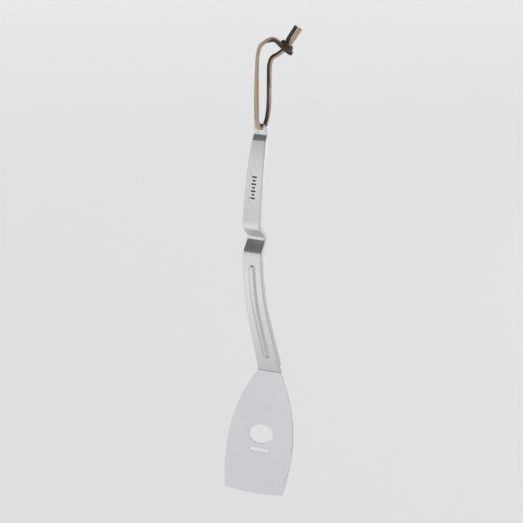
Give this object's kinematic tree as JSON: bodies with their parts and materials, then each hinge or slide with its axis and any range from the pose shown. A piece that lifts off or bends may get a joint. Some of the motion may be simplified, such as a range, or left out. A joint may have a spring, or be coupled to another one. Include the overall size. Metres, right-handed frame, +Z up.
{
  "type": "grill spatula",
  "caption": "Steel barbecue turner: leaf-shaped blade with an oval drain hole and a slot, pressed channel handle with a V thumb rest, hanging from a knotted leather thong.",
  "frame": {"origin": "hook seat: the inside of the thong's loop where it lies on the hook, straight above the hang hole", "axes": "+Z up as the tool hangs, from blade to hang tab; +X to the right across the blade; -Y to the front, the food side of the blade"},
  "size_m": [0.0754, 0.0474, 0.4903],
  "materials": {
    "handle_steel": "fine satin stainless",
    "blade_steel": "fine satin stainless",
    "weld_metal": "dressed weld",
    "thong_leather": "tan cut sides, dark grain face"
  },
  "bodies": {
    "thong": {"thong_loop": "thong_leather", "thong_knot": "thong_leather", "thong_tail_left": "thong_leather", "thong_tail_right": "thong_leather"},
    "spatula": {"handle": "handle_steel", "blade": "blade_steel", "spot_welds": "weld_metal"}
  },
  "joints": [
    {"name": "hang_swing", "type": "hinge", "parent": "thong", "child": "spatula", "pos_m": [0, 0, -0.08], "axis": [0, 1, 0], "range_deg": [-90, 90]}
  ]
}
